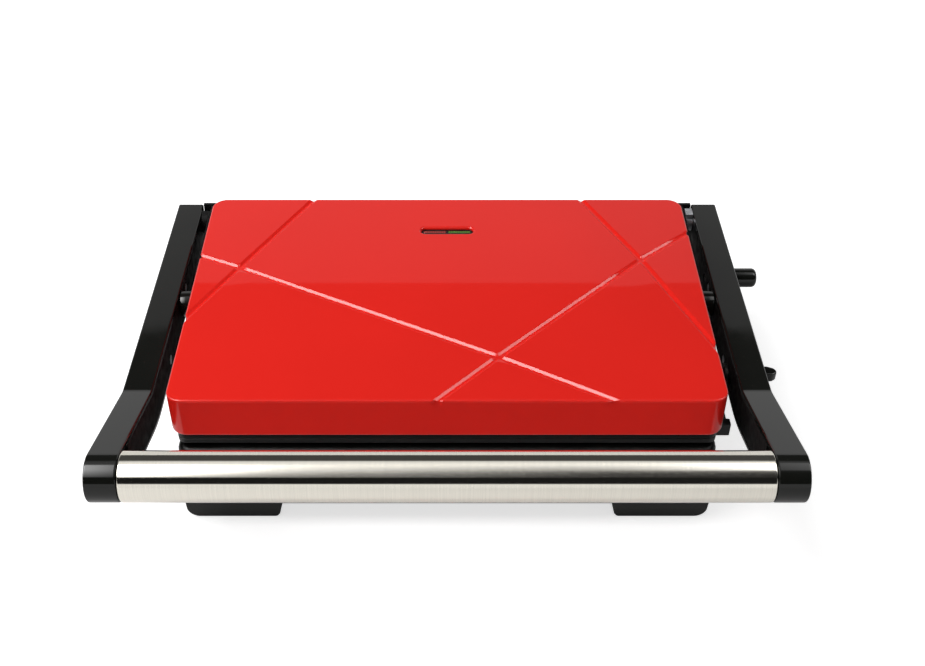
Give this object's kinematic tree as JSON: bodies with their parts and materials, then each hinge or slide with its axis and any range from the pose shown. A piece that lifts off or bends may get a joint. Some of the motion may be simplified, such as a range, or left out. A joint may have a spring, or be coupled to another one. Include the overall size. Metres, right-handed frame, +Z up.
{
  "type": "contact grill",
  "caption": "Compact contact grill: red grooved lid floating on two side arms with a steel bar handle, hinged to a black base with ribbed plates, side lid lock and release knob",
  "frame": {"origin": "on the table under the middle of the part's overall outline, the release knob counted in", "axes": "+X to the user's right, +Y to the rear hinge, so the bar handle faces -Y, and +Z up"},
  "size_m": [0.3148, 0.2314, 0.0899],
  "materials": {
    "black_plastic": "black moulded plastic, satin",
    "black_gloss": "black moulded plastic, glossy",
    "red_enamel": "deep red gloss lacquer",
    "bar_steel": "brushed stainless tube",
    "zinc_steel": "bright zinc-plated steel",
    "tray_metal": "pressed aluminium sheet",
    "non_stick": "cast aluminium with a dark non-stick coat",
    "heater_sheath": "dull grey sheathed heating rod",
    "rubber": "black rubber",
    "red_lens": "translucent red signal lens",
    "green_lens": "translucent green signal lens",
    "lamp_glass": "clear lamp glass",
    "ceramic": "off-white ceramic"
  },
  "bodies": {
    "base": {"base_housing": "black_plastic", "bottom_cover": "black_plastic", "foot_front_left": "black_gloss", "foot_pad_front_left": "rubber", "foot_screw_front_left": "zinc_steel", "foot_front_right": "black_gloss", "foot_pad_front_right": "rubber", "foot_screw_front_right": "zinc_steel", "foot_rear_left": "black_gloss", "foot_pad_rear_left": "rubber", "foot_screw_rear_left": "zinc_steel", "foot_rear_right": "black_gloss", "foot_pad_rear_right": "rubber", "foot_screw_rear_right": "zinc_steel", "lower_plate": "non_stick", "lower_heater": "heater_sheath", "lower_reflector": "tray_metal", "cord_gland": "rubber", "terminal_block": "ceramic", "hinge_stop_plate": "zinc_steel", "lock_catch": "black_plastic", "hinge_bracket_left": "black_plastic", "hinge_pin_left": "zinc_steel", "bracket_screw_left": "zinc_steel", "hinge_bracket_right": "black_plastic", "hinge_pin_right": "zinc_steel", "bracket_screw_right": "zinc_steel"},
    "arms": {"arm_left": "black_gloss", "arm_cover_left": "black_gloss", "arm_screw_rear_left": "zinc_steel", "arm_screw_middle_left": "zinc_steel", "arm_right": "black_gloss", "arm_cover_right": "black_gloss", "arm_screw_rear_right": "zinc_steel", "arm_screw_middle_right": "zinc_steel", "handle_tube": "bar_steel", "release_spring": "zinc_steel"},
    "release": {"release_button": "black_gloss"},
    "lock": {"lock_slide": "black_plastic", "lock_hook": "zinc_steel", "lock_screw": "zinc_steel"},
    "lid": {"lid_cover": "red_enamel", "lid_frame": "black_plastic", "lid_screw_front_left": "zinc_steel", "lid_screw_front_right": "zinc_steel", "lid_screw_rear_left": "zinc_steel", "lid_screw_rear_right": "zinc_steel", "pivot_pin_left": "black_plastic", "pivot_pin_right": "black_plastic", "upper_plate": "non_stick", "upper_heater": "heater_sheath", "upper_reflector": "tray_metal", "power_lens": "red_lens", "ready_lens": "green_lens", "lamp_holder": "black_plastic", "power_lamp": "lamp_glass", "ready_lamp": "lamp_glass", "thermostat": "ceramic", "thermal_fuse": "ceramic"}
  },
  "joints": [
    {"name": "arms_hinge", "type": "hinge", "parent": "base", "child": "arms", "pos_m": [0, 0.10725, 0.0612], "axis": [-1, 0, 0], "range_deg": [0, 180]},
    {"name": "lid_tilt", "type": "hinge", "parent": "arms", "child": "lid", "pos_m": [0, 0.03375, 0.0613], "axis": [-1, 0, 0], "range_deg": [-1.5, 1.5]},
    {"name": "release_press", "type": "slide", "parent": "arms", "child": "release", "axis": [-1, 0, 0], "range_m": [0, 0.003], "stiffness_N_per_m": 300, "deforming": ["release_spring"]},
    {"name": "lock_travel", "type": "slide", "parent": "arms", "child": "lock", "axis": [0, -1, 0], "range_m": [0, 0.009]}
  ]
}
